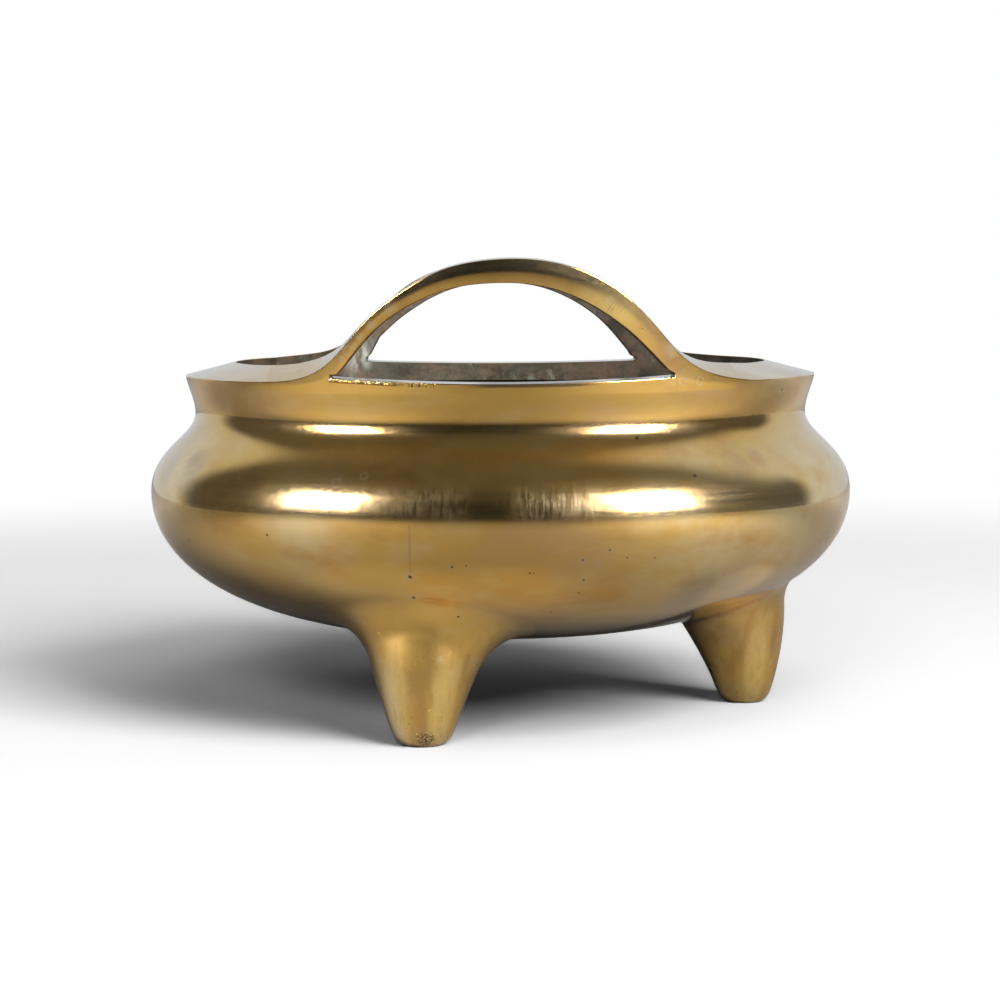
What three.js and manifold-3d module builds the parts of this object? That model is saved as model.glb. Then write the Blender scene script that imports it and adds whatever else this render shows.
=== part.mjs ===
// Tripod censer: a thick cast bowl on three tapering feet, with two arched loop handles on its lip.
// Millimetres, +Z up. The origin is on the bowl's axis, in the plane that the three feet stand on.
// The front handle is towards -Y and the back handle towards +Y.
import * as THREE from "three";
import { mergeVertices } from "three/addons/utils/BufferGeometryUtils.js";
import Module from "manifold-3d";

const wasm = await Module();
wasm.setup();

// Fits and cuts
const seatGap = 0.3; // between a cast-on piece and the bowl, where they don't meet on a flat
const cutOverrun = 5; // how far a cutting body runs past what it cuts
const weldDistance = 0.001; // vertices nearer than this are one

// Bowl, outside
const undersideHeight = 29.1; // feet plane to the middle of the underside
const undersideFlatRadius = 30.7;
const undersideSweep = 47.4; // length of the underside's tangent, outwards
const bellyRadius = 125;
const bellyHeight = 78.4; // where the belly is widest
const bellyFall = 32.4; // length of the belly's tangent, downwards
const bellyLift = 15.1; // and upwards
const neckDepth = 16; // how far the neck is drawn in from the belly
const neckHeight = 106.2;
const neckFall = 8.4;
const neckLift = 4.9;
const rimInset = 12.8; // the lip's outer edge, in from the belly
const rimHeight = 119.5;
const rimFall = 4;
const rimFlare = 0.6; // how far the band leans out over rimFall
const rimEdge = 0.9; // rounding of the lip's outer edge

// Bowl, lip and inside
const lipWidth = 17.7;
const lipRise = 4.6; // the lip is higher at the mouth than at the rim
const lipDepth = 8.5; // the upright face round the mouth
const lipUnderReach = 6; // length of the tangent of the hollow under the lip
const mouthEdge = 0.8; // rounding of the lip's inner edge
const wall = 4;

const neckRadius = bellyRadius - neckDepth;
const rimRadius = bellyRadius - rimInset;
const mouthRadius = rimRadius - lipWidth;
const mouthHeight = rimHeight + lipRise;

// Handles, measured from the plane of the handles' sills and from the bowl's axis
const sillStep = 0.2; // that plane is a little above the lip's outer edge
const sillSag = 1.7; // the sill between the feet dips in the middle
const sillRise = 0.2;
const seatDepth = 2; // depth of the notches' flat bottoms, which the feet stand on
const handleInset = 16.5; // the foot's tip, in from the mouth's radius
const limbWidth = 21; // of an arch's limb where it meets the lip
const outerArchHeight = 39.7; // along the arch's outer face
const innerArchHeight = 32.1;
const handleLean = 0.12; // slope: outwards for each millimetre upwards

const sillHeight = rimHeight + sillStep;
const seatHeight = rimHeight - seatDepth;
const handleHalfSpan = mouthRadius - handleInset;
const openingHalfWidth = handleHalfSpan - limbWidth;

// Legs
const footInset = 36.8; // the feet's centres, in from the belly
const footFlatRadius = 5.6;
const toeHeight = 5.2;
const rootHeight = 30;
const rootGrowth = 10.65; // how much the cone's radius grows from the ground to rootHeight
const rootDrift = 4.6; // and how far its centre has moved inwards there
const sideFillet = 14; // length of the fillet's two sides, on the leg's left and right
const outerFillet = 8; // on its outward side
const innerFillet = 3.5; // and towards the bowl's axis
const filletEdge = 0.7; // thickness of the fillet where it runs out on the bowl

const footCircleRadius = bellyRadius - footInset;

// Each leg's name, its azimuth in degrees, and its cone's radius at the ground, before the toe is
// rounded. The front leg is a little stouter than the others, as it came from the file.
const stoutLineRadius = 9;
const slimLineRadius = 8.4;
const legs = [
  { name: "leg_front_left", azimuth: -107.6, lineRadius: stoutLineRadius },
  { name: "leg_right", azimuth: 0, lineRadius: slimLineRadius },
  { name: "leg_back_left", azimuth: 115, lineRadius: slimLineRadius },
];

// Fineness
const roundSteps = 72; // flats round the bowl
const legSteps = 32;
const sweepSteps = 8; // flats along a long curve of the profile
const insideSteps = 5; // the same inside the bowl, where little shows
const shortSteps = 3;
const archSteps = 40;
const filletSteps = 7;
const toeSteps = 4;
const coneSteps = 2;
const searchSteps = 40;

// Outline of the arch's outer edge, as shares of handleHalfSpan and outerArchHeight
const outerArchShares = [
  [-1, -0.005],
  [-0.905, 0.012],
  [-0.835, 0.036],
  [-0.75, 0.1],
  [-0.67, 0.22],
  [-0.563, 0.466],
  [-0.415, 0.73],
  [-0.23, 0.928],
  [0.03, 1],
  [0.252, 0.95],
  [0.447, 0.785],
  [0.599, 0.524],
  [0.701, 0.29],
  [0.77, 0.162],
  [0.852, 0.078],
  [0.93, 0.036],
  [1, 0.01],
];

// How much higher the arch's top is at its inner face than at its outer face: where along
// handleHalfSpan, and the share of lipRise that is left there
const topRiseShares = [
  [-1, 1],
  [-0.75, 1.02],
  [-0.69, 0.76],
  [-0.58, 0.25],
  [-0.48, 0.15],
  [0.6, 0.15],
  [0.7, 0.22],
  [0.83, 0.57],
  [0.92, 0.78],
  [1, 1],
];

// Outline of the opening, as shares of openingHalfWidth and innerArchHeight
const innerArchShares = [
  [-1, 0.059],
  [-0.875, 0.271],
  [-0.721, 0.536],
  [-0.516, 0.785],
  [-0.279, 0.95],
  [0, 1],
  [0.228, 0.962],
  [0.447, 0.826],
  [0.682, 0.561],
  [0.86, 0.277],
  [1, 0.059],
];

// three.js geometry to a solid, and back

function toSolid(geometry) {
  const bare = geometry.clone();
  bare.deleteAttribute("normal");
  bare.deleteAttribute("uv");
  const merged = mergeVertices(bare, weldDistance);
  const solid = new wasm.Manifold(
    new wasm.Mesh({
      numProp: 3,
      vertProperties: merged.attributes.position.array,
      triVerts: new Uint32Array(merged.index.array),
    }),
  );
  return solid;
}

function toGeometry(solid) {
  const { vertProperties, triVerts } = solid.getMesh();
  const geometry = new THREE.BufferGeometry();
  geometry.setAttribute("position", new THREE.BufferAttribute(vertProperties, 3));
  geometry.setIndex(new THREE.BufferAttribute(triVerts, 1));
  geometry.computeVertexNormals();
  return geometry;
}

// A profile of [radius, height] points turned round the Z axis
function turned(points) {
  const geometry = new THREE.LatheGeometry(points, roundSteps);
  return toSolid(geometry.rotateX(Math.PI / 2));
}

// An upright outline in X and Z, pushed along Y from yStart to yEnd
function pushed(points, yStart, yEnd) {
  const depth = yEnd - yStart;
  const geometry = new THREE.ExtrudeGeometry(new THREE.Shape(points), {
    depth,
    bevelEnabled: false,
  });
  geometry.rotateX(Math.PI / 2);
  return toSolid(geometry.translate(0, yEnd, 0));
}

// Rings of points, bottom to top, skinned into one closed body
function lofted(rings) {
  const count = rings[0].length;
  const places = rings.flat().flatMap((point) => point.toArray());
  const faces = [];
  for (let ring = 0; ring + 1 < rings.length; ring++) {
    for (let step = 0; step < count; step++) {
      const next = (step + 1) % count;
      const low = ring * count;
      const high = low + count;
      faces.push(low + step, low + next, high + next);
      faces.push(low + step, high + next, high + step);
    }
  }
  const top = (rings.length - 1) * count;
  for (let step = 1; step + 1 < count; step++) {
    faces.push(0, step + 1, step);
    faces.push(top, top + step, top + step + 1);
  }
  const geometry = new THREE.BufferGeometry();
  geometry.setAttribute("position", new THREE.Float32BufferAttribute(places, 3));
  geometry.setIndex(faces);
  return toSolid(geometry);
}

// Height of a polyline at a place along it, level beyond its first point
function heightOn(points, across) {
  for (let index = 0; index + 1 < points.length; index++) {
    const near = points[index];
    const far = points[index + 1];
    if (across <= far.x) {
      const share = Math.max((across - near.x) / (far.x - near.x), 0);
      return near.y + share * (far.y - near.y);
    }
  }
  return points[points.length - 1].y;
}

// Bowl

function outerCurves() {
  const underside = new THREE.CubicBezierCurve(
    new THREE.Vector2(undersideFlatRadius, undersideHeight),
    new THREE.Vector2(undersideFlatRadius + undersideSweep, undersideHeight),
    new THREE.Vector2(bellyRadius, bellyHeight - bellyFall),
    new THREE.Vector2(bellyRadius, bellyHeight),
  );
  const shoulder = new THREE.CubicBezierCurve(
    new THREE.Vector2(bellyRadius, bellyHeight),
    new THREE.Vector2(bellyRadius, bellyHeight + bellyLift),
    new THREE.Vector2(neckRadius, neckHeight - neckFall),
    new THREE.Vector2(neckRadius, neckHeight),
  );
  const band = new THREE.CubicBezierCurve(
    new THREE.Vector2(neckRadius, neckHeight),
    new THREE.Vector2(neckRadius, neckHeight + neckLift),
    new THREE.Vector2(rimRadius - rimFlare, rimHeight - rimFall),
    new THREE.Vector2(rimRadius, rimHeight - rimEdge),
  );
  return { underside, shoulder, band };
}

const outer = outerCurves();

// The belly's outline from the flat of the underside to the neck
function bellyOutline(steps) {
  return [
    ...outer.underside.getPoints(2 * steps),
    ...outer.shoulder.getPoints(steps).slice(1),
  ];
}

const bellyPoints = bellyOutline(sweepSteps);

// The points of a curve moved square to it, towards the inside when distance is positive
function movedInwards(points, distance) {
  return points.map((point, index) => {
    const before = points[Math.max(index - 1, 0)];
    const after = points[Math.min(index + 1, points.length - 1)];
    const along = after.clone().sub(before).normalize();
    return new THREE.Vector2(point.x - along.y * distance, point.y + along.x * distance);
  });
}

const lipSlope = lipRise / lipWidth;

function rimPoints() {
  const corner = new THREE.Vector2(rimRadius, rimHeight);
  const start = new THREE.Vector2(rimRadius, rimHeight - rimEdge);
  const end = new THREE.Vector2(rimRadius - rimEdge, rimHeight + lipSlope * rimEdge);
  return new THREE.QuadraticBezierCurve(start, corner, end).getPoints(shortSteps);
}

function mouthPoints() {
  const corner = new THREE.Vector2(mouthRadius, mouthHeight);
  const start = new THREE.Vector2(mouthRadius + mouthEdge, mouthHeight - lipSlope * mouthEdge);
  const end = new THREE.Vector2(mouthRadius, mouthHeight - mouthEdge);
  return new THREE.QuadraticBezierCurve(start, corner, end).getPoints(shortSteps);
}

function bowlProfile() {
  const inside = movedInwards(bellyOutline(insideSteps), wall);
  const throat = inside[inside.length - 1];
  const lipUnder = new THREE.Vector2(mouthRadius, mouthHeight - lipDepth);
  const hollow = new THREE.CubicBezierCurve(
    lipUnder,
    new THREE.Vector2(lipUnder.x + lipUnderReach, lipUnder.y),
    new THREE.Vector2(throat.x, throat.y + lipUnderReach),
    throat,
  );
  return [
    new THREE.Vector2(0, undersideHeight),
    ...bellyPoints,
    ...outer.band.getPoints(shortSteps + 1).slice(1),
    ...rimPoints().slice(1),
    ...mouthPoints(),
    ...hollow.getPoints(shortSteps + 1),
    ...inside.reverse().slice(1),
    new THREE.Vector2(0, undersideHeight + wall),
  ];
}

// Handles

function archCurve(shares, halfWidth, height) {
  const places = shares.map(
    ([across, up]) => new THREE.Vector2(across * halfWidth, sillHeight + up * height),
  );
  return new THREE.SplineCurve(places).getPoints(archSteps);
}

function sillPoint(x) {
  const dip = sillSag * (x / openingHalfWidth) ** 2;
  return new THREE.Vector2(x, sillHeight + sillRise + dip);
}

// What a handle and its sill take away from the bowl's lip: two flat notches and the sagging sill
function lipCut(yStart, yEnd) {
  const top = mouthHeight + cutOverrun;
  const notchEnd = handleHalfSpan + seatGap;
  const sillEnd = openingHalfWidth - seatGap;
  const sill = [];
  for (let step = 0; step <= sweepSteps; step++) {
    sill.push(sillPoint(sillEnd * ((2 * step) / sweepSteps - 1)));
  }
  const outline = [
    new THREE.Vector2(-notchEnd, top),
    new THREE.Vector2(-notchEnd, seatHeight),
    new THREE.Vector2(-sillEnd, seatHeight),
    ...sill,
    new THREE.Vector2(sillEnd, seatHeight),
    new THREE.Vector2(notchEnd, seatHeight),
    new THREE.Vector2(notchEnd, top),
  ];
  return pushed(outline, yStart, yEnd);
}

function outerFaceAt(height) {
  return rimRadius + handleLean * (height - rimHeight);
}

// The ring that the handles are sawn from: flush with the band outside and with the mouth inside
function handleRing() {
  const top = sillHeight + outerArchHeight + cutOverrun;
  const innerTop = mouthRadius + handleLean * (top - mouthHeight);
  return turned([
    new THREE.Vector2(outerFaceAt(seatHeight), seatHeight),
    new THREE.Vector2(outerFaceAt(top), top),
    new THREE.Vector2(innerTop, top),
    new THREE.Vector2(mouthRadius, mouthHeight),
    new THREE.Vector2(mouthRadius, seatHeight),
    new THREE.Vector2(outerFaceAt(seatHeight), seatHeight),
  ]);
}

// The arch before it is opened. Its top keeps the slope of the lip at its ends and loses most of
// it towards the crown, so the blank's upper corners are raised on the inner face.
function archBlank(yStart, yEnd) {
  const outline = [
    new THREE.Vector2(-handleHalfSpan, seatHeight),
    ...archCurve(outerArchShares, handleHalfSpan, outerArchHeight),
    new THREE.Vector2(handleHalfSpan, seatHeight),
  ];
  const rises = topRiseShares.map(
    ([across, share]) => new THREE.Vector2(across * handleHalfSpan, share * lipRise),
  );
  const geometry = toGeometry(handleRing().intersect(pushed(outline, yStart, yEnd)));
  const places = geometry.attributes.position;
  for (let index = 0; index < places.count; index++) {
    const x = places.getX(index);
    const z = places.getZ(index);
    const inwards = outerFaceAt(z) - Math.hypot(x, places.getY(index));
    if (z > seatHeight + weldDistance && inwards > lipWidth / 2) {
      places.setZ(index, z + heightOn(rises, x));
    }
  }
  return toSolid(geometry);
}

function handle(yStart, yEnd) {
  const opening = pushed(
    [
      new THREE.Vector2(-openingHalfWidth, seatHeight - cutOverrun),
      ...archCurve(innerArchShares, openingHalfWidth, innerArchHeight),
      new THREE.Vector2(openingHalfWidth, seatHeight - cutOverrun),
    ],
    yStart,
    yEnd,
  );
  return archBlank(yStart, yEnd).subtract(opening);
}

// Legs

const undersidePoints = bellyPoints.slice(0, 2 * sweepSteps + 1);

// A point on the leg's cone, whose centre drifts towards the bowl's axis as it rises
function coneAt(lineRadius, height, angle) {
  const radius = lineRadius + rootGrowth * (height / rootHeight);
  const centre = footCircleRadius - rootDrift * (height / rootHeight) ** 2;
  return new THREE.Vector3(centre + radius * Math.cos(angle), radius * Math.sin(angle), height);
}

// Where that line of the cone meets a ceiling, which gives a height over any point
function meets(lineRadius, angle, ceilingOver) {
  let low = 0;
  let high = bellyHeight;
  for (let step = 0; step < searchSteps; step++) {
    const middle = (low + high) / 2;
    const point = coneAt(lineRadius, middle, angle);
    if (middle < ceilingOver(point)) low = middle;
    else high = middle;
  }
  return coneAt(lineRadius, low, angle);
}

// The bowl's underside, less the gap and the thickness that the fillet ends in
function seatOver(point) {
  return heightOn(undersidePoints, Math.hypot(point.x, point.y)) - seatGap - filletEdge;
}

// One line of the leg's skin, from the foot's flat up its cone and out along the underside
function legLine(lineRadius, angle) {
  const out = new THREE.Vector3(Math.cos(angle), Math.sin(angle), 0);
  const endFillet = THREE.MathUtils.lerp(innerFillet, outerFillet, (1 + out.x) / 2);
  const fillet = THREE.MathUtils.lerp(endFillet, sideFillet, out.y ** 2);
  const beyond = meets(lineRadius, angle, seatOver).addScaledVector(out, fillet);
  beyond.z = seatOver(beyond);
  const before = beyond.clone().addScaledVector(out, -filletEdge);
  const slope = (beyond.z - seatOver(before)) / filletEdge;
  const corner = meets(lineRadius, angle, (point) => {
    return beyond.z + slope * point.clone().sub(beyond).dot(out);
  });
  const below = coneAt(lineRadius, corner.z - fillet, angle);
  const toeEnd = coneAt(lineRadius, toeHeight, angle);
  const toeCorner = coneAt(lineRadius, 0, angle);
  const toeStart = new THREE.Vector3(
    footCircleRadius + footFlatRadius * Math.cos(angle),
    footFlatRadius * Math.sin(angle),
    0,
  );
  const toe = new THREE.QuadraticBezierCurve3(toeStart, toeCorner, toeEnd);
  const cone = [];
  for (let step = 1; step < coneSteps; step++) {
    const height = toeHeight + ((below.z - toeHeight) * step) / coneSteps;
    cone.push(coneAt(lineRadius, height, angle));
  }
  const flare = new THREE.QuadraticBezierCurve3(below, corner, beyond);
  const inside = beyond.clone();
  inside.z = bellyHeight;
  return [...toe.getPoints(toeSteps), ...cone, ...flare.getPoints(filletSteps), inside];
}

function leg({ azimuth, lineRadius }, bowlCutter) {
  const lines = [];
  for (let step = 0; step < legSteps; step++) {
    lines.push(legLine(lineRadius, (2 * Math.PI * step) / legSteps));
  }
  const rings = lines[0].map((_, ring) => lines.map((line) => line[ring]));
  const turn = new THREE.Matrix4().makeRotationZ(THREE.MathUtils.degToRad(azimuth));
  rings.flat().forEach((point) => point.applyMatrix4(turn));
  return lofted(rings).subtract(bowlCutter);
}

// The bowl's outside grown by the seat gap, closed on the axis
function grownBowl() {
  const grown = movedInwards(bellyPoints, -seatGap);
  const first = grown[0];
  const last = grown[grown.length - 1];
  return turned([
    new THREE.Vector2(0, first.y),
    ...grown,
    new THREE.Vector2(0, last.y),
  ]);
}

// Assembly

const polishedBrass = new THREE.MeshStandardMaterial({
  color: 0xb28a45,
  roughness: 0.22,
  metalness: 1,
});
const handleBrass = polishedBrass.clone();
handleBrass.color.set(0xb08644);
const legBrass = polishedBrass.clone();
legBrass.color.set(0xab8240);
legBrass.roughness = 0.28;

const censer = new THREE.Group();

function addPiece(name, solid, material) {
  const mesh = new THREE.Mesh(toGeometry(solid), material);
  mesh.name = name;
  censer.add(mesh);
  return mesh;
}

const reach = rimRadius + handleLean * outerArchHeight + cutOverrun;
const frontCut = lipCut(-reach, 0);
const backCut = lipCut(0, reach);
addPiece("bowl", turned(bowlProfile()).subtract(frontCut).subtract(backCut), polishedBrass);
addPiece("handle_front", handle(-reach, 0), handleBrass);
addPiece("handle_back", handle(-reach, 0), handleBrass).rotation.z = Math.PI;

const bowlCutter = grownBowl();
for (const legPlan of legs) {
  addPiece(legPlan.name, leg(legPlan, bowlCutter), legBrass);
}

export default censer;
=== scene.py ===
import math
from bisect import bisect_right

import bmesh
import bpy
from mathutils import Matrix, Vector
from mathutils.geometry import interpolate_bezier


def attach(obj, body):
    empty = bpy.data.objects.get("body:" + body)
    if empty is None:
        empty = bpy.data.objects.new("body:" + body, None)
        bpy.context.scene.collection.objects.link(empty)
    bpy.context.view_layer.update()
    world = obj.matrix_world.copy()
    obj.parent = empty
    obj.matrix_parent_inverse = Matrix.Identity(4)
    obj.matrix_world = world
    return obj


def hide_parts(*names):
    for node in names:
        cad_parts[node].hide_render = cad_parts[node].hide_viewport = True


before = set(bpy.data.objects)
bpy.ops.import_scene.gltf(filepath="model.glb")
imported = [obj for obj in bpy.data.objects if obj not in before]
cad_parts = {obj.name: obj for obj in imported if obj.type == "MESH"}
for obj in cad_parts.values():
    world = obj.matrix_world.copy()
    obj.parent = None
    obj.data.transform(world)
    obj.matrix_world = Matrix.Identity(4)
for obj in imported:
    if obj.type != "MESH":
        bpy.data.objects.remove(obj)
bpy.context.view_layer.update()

# Shapes are worked out in millimetres and scaled to metres when a piece is finished.
metresPerMm = 0.001
poleReach = 0.001  # a pole's vertices lie no further apart
scene = bpy.context.scene
print("frame loaded")


# Small tools

def smoothStep(share):
    share = min(max(share, 0), 1)
    return share * share * (3 - 2 * share)


def mix(first, second, share):
    return first + (second - first) * share


def slopesOf(table):
    slopes = []
    last = len(table) - 1
    for index in range(len(table)):
        before = table[max(index - 1, 0)]
        after = table[min(index + 1, last)]
        slopes.append((after[1] - before[1]) / (after[0] - before[0]))
    return slopes


def curveAt(table, across):
    # a smooth curve through the table's points, level beyond its ends
    if across <= table[0][0]:
        return table[0][1]
    if across >= table[-1][0]:
        return table[-1][1]
    slopes = slopesOf(table)
    index = max(i for i in range(len(table) - 1) if table[i][0] <= across)
    (x0, y0), (x1, y1) = table[index], table[index + 1]
    width = x1 - x0
    t = (across - x0) / width
    bend0 = (2 * t**3 - 3 * t**2 + 1) * y0 + (t**3 - 2 * t**2 + t) * width * slopes[index]
    bend1 = (3 * t**2 - 2 * t**3) * y1 + (t**3 - t**2) * width * slopes[index + 1]
    return bend0 + bend1


def sweep(start, startHandle, endHandle, end, count):
    corners = [Vector((x, 0, z)) for x, z in (start, startHandle, endHandle, end)]
    return [(point.x, point.z) for point in interpolate_bezier(*corners, count)]


def inwards(points, distance):
    moved = []
    for index, (x, z) in enumerate(points):
        before = points[max(index - 1, 0)]
        after = points[min(index + 1, len(points) - 1)]
        along = Vector((after[0] - before[0], after[1] - before[1])).normalized()
        moved.append((x - along.y * distance, z + along.x * distance))
    return moved


def added(name, data):
    made = bpy.data.objects.new(name, data)
    scene.collection.objects.link(made)
    return made


# Bowl and handles, one casting

bowl = {
    "undersideHeight": 29.1,
    "flatRadius": 30.7,
    "undersideSweep": 47.4,
    "bellyRadius": 125,
    "bellyHeight": 78.4,
    "bellyFall": 32.4,
    "bellyLift": 15.1,
    "neckRadius": 109,
    "neckHeight": 106.2,
    "neckFall": 8.4,
    "neckLift": 4.9,
    "rimRadius": 112.2,
    "rimHeight": 119.5,
    "rimFall": 4,
    "seamHeight": 116.9,  # where the handles' feet part from the bowl
    "lowShare": 0.36,  # two rows stand between the seam and the rim, at these shares of the way
    "highShare": 0.68,
    "lipWidth": 17.7,
    "lipRise": 4.6,
    "lipDepth": 11,
    "lipUnderReach": 6,
    "wall": 4,
    "edgeRounding": 0.75,
    "edgeSteps": 4,
    "sharpFold": 28,  # degrees; an edge folded more than this is rounded
    "columns": 320,  # round the bowl
    "undersideRows": 44,
    "shoulderRows": 26,
    "bandRows": 16,
    "bandSamples": 60,  # from which the band's radius at a height is read
    "lipRows": 5,
    "hollowRows": 8,
    "insideRows": 36,
}

handle = {
    "lean": 0.12,
    "halfSpan": 78,
    "halfZone": 84,  # the lip is level again this far from the middle
    "halfWindow": 55.6,
    "sillHeight": 119.9,
    "sillSag": 1.5,
    "windowEnd": 1.2,  # height of the window where it ends
    # the back window's ends are drawn in: from how far across, and by how much a millimetre
    "backDraft": {-1: (51.3, 0.47), 1: (47, 0.53)},
    "archBase": 119.7,
    "outerHeight": 39.7,
    "innerHeight": 32.1,
    "windowColumns": 26,
    "zoneColumns": 38,
    "seamColumn": 35,  # where a foot's tip parts from the lip
    "windowRounding": 0.32,
    "windowSteps": 3,
    "windowCuts": 3,  # rows of points across the window's faces
    # the crown's outer face rolls back: each row's share of the height, and of the roll
    "browRows": [("browLow", 0.42, 0), ("browHigh", 0.7, 0.2)],
    # whole as far as "full" from the middle, and run out at "end"
    "browTop": {"roll": 0.75, "full": 10, "end": 38},
    "browFoot": {"roll": 0.5, "full": 38, "end": 54},
    # across as a share of halfSpan, height as a share of outerHeight
    "outerShares": [
        (-1.077, -0.005), (-1, 0), (-0.905, 0.012), (-0.835, 0.038), (-0.75, 0.112),
        (-0.67, 0.258), (-0.563, 0.508), (-0.415, 0.735), (-0.23, 0.928), (0.03, 1),
        (0.252, 0.95), (0.447, 0.785), (0.599, 0.524), (0.701, 0.29), (0.77, 0.162),
        (0.852, 0.078), (0.93, 0.036), (1, 0.01), (1.077, -0.005),
    ],
    # across as a share of halfWindow, height as a share of innerHeight
    "innerShares": [
        (-1, 0.04), (-0.95, 0.09), (-0.9, 0.213), (-0.74, 0.53), (-0.53, 0.785),
        (-0.287, 0.95), (0, 1), (0.234, 0.962), (0.459, 0.826), (0.7, 0.561), (0.845, 0.33),
        (0.92, 0.2), (0.97, 0.11), (1, 0.05),
    ],
    # across as a share of halfSpan, and the share of lipRise that the top still slopes by
    "riseShares": [
        (-1, 1), (-0.81, 1.0), (-0.74, 0.76), (-0.67, 0.36), (-0.6, 0.15), (-0.48, 0.12),
        (0.6, 0.15), (0.7, 0.22), (0.83, 0.57), (0.92, 0.78), (1, 1),
    ],
    "smoothing": {"outerShares": 3, "innerShares": 2, "riseShares": 6},  # passes
}

mouthRadius = bowl["rimRadius"] - bowl["lipWidth"]
mouthHeight = bowl["rimHeight"] + bowl["lipRise"]
lipUnder = mouthHeight - bowl["lipDepth"]
lowHeight = mix(bowl["seamHeight"], bowl["rimHeight"], bowl["lowShare"])
highHeight = mix(bowl["seamHeight"], bowl["rimHeight"], bowl["highShare"])
patinaReach = 20  # millimetres inside the unpolished skin, for a point well away from its edge


def bellyOutline(undersideRows, shoulderRows):
    belly = bowl["bellyRadius"]
    middle = bowl["bellyHeight"]
    flat = bowl["flatRadius"]
    floor = bowl["undersideHeight"]
    neck = (bowl["neckRadius"], bowl["neckHeight"])
    underside = sweep(
        (flat, floor),
        (flat + bowl["undersideSweep"], floor),
        (belly, middle - bowl["bellyFall"]),
        (belly, middle),
        undersideRows,
    )
    shoulder = sweep(
        (belly, middle),
        (belly, middle + bowl["bellyLift"]),
        (neck[0], neck[1] - bowl["neckFall"]),
        neck,
        shoulderRows,
    )
    return underside + shoulder[1:]


def bandOutline():
    neck = (bowl["neckRadius"], bowl["neckHeight"])
    rim = (bowl["rimRadius"], bowl["rimHeight"])
    start = (neck[0], neck[1] + bowl["neckLift"])
    end = (rim[0] - handle["lean"] * bowl["rimFall"], rim[1] - bowl["rimFall"])
    return sweep(neck, start, end, rim, bowl["bandSamples"])


bandPoints = bandOutline()


def outerRadius(height):
    # the band's radius, and above the lip the radius of the handles' outer faces
    if height >= bowl["rimHeight"]:
        return bowl["rimRadius"] + handle["lean"] * (height - bowl["rimHeight"])
    for (x0, z0), (x1, z1) in zip(bandPoints, bandPoints[1:]):
        if height <= z1:
            return mix(x0, x1, (height - z0) / (z1 - z0))
    return bowl["rimRadius"]


def innerRadius(height):
    return mouthRadius + handle["lean"] * max(height - mouthHeight, 0)


def smoothed(values, passes):
    for _ in range(passes):
        inner = [
            (values[i - 1] + 2 * values[i] + values[i + 1]) / 4
            for i in range(1, len(values) - 1)
        ]
        values = [values[0], *inner, values[-1]]
    return values


zone = handle["zoneColumns"]
window = handle["windowColumns"]


def columnPlace(column):
    # how far across a handle a column of the mesh stands
    side = math.copysign(1, column)
    step = abs(column)
    if step <= window:
        return side * handle["halfWindow"] * step / window
    share = (step - window) / (zone - window)
    return side * mix(handle["halfWindow"], handle["halfZone"], share)


def alongHandle(columns, base, size, shares, span):
    # a height for each column of a handle, read off one of its tables of shares
    heights = [
        base + size * curveAt(handle[shares], columnPlace(column) / handle[span])
        for column in range(-columns, columns + 1)
    ]
    return smoothed(heights, handle["smoothing"][shares])


archBase = handle["archBase"]
topHeights = alongHandle(zone, archBase, handle["outerHeight"], "outerShares", "halfSpan")
topRises = alongHandle(zone, 0, bowl["lipRise"], "riseShares", "halfSpan")
windowTops = alongHandle(window, archBase, handle["innerHeight"], "innerShares", "halfWindow")


def sillAt(x):
    return handle["sillHeight"] + handle["sillSag"] * (x / handle["halfWindow"]) ** 2


def zoneHeights(column):
    # heights of the window's lower line, its upper line, the top's outer edge and its inner edge
    top = topHeights[column + zone]
    rise = topRises[column + zone]
    seam = bowl["seamHeight"]
    if abs(column) <= window:
        low = sillAt(columnPlace(column))
        high = max(windowTops[column + window], low + handle["windowEnd"])
        return low, high, top, top + rise
    end = window if column > 0 else -window
    endLow, endHigh, endTop, _ = zoneHeights(end)
    share = smoothStep((abs(column) - window) / (zone - window))
    lowShare = mix((endLow - seam) / (endTop - seam), bowl["lowShare"], share)
    highShare = mix((endHigh - seam) / (endTop - seam), bowl["highShare"], share)
    return seam + lowShare * (top - seam), seam + highShare * (top - seam), top, top + rise


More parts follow.
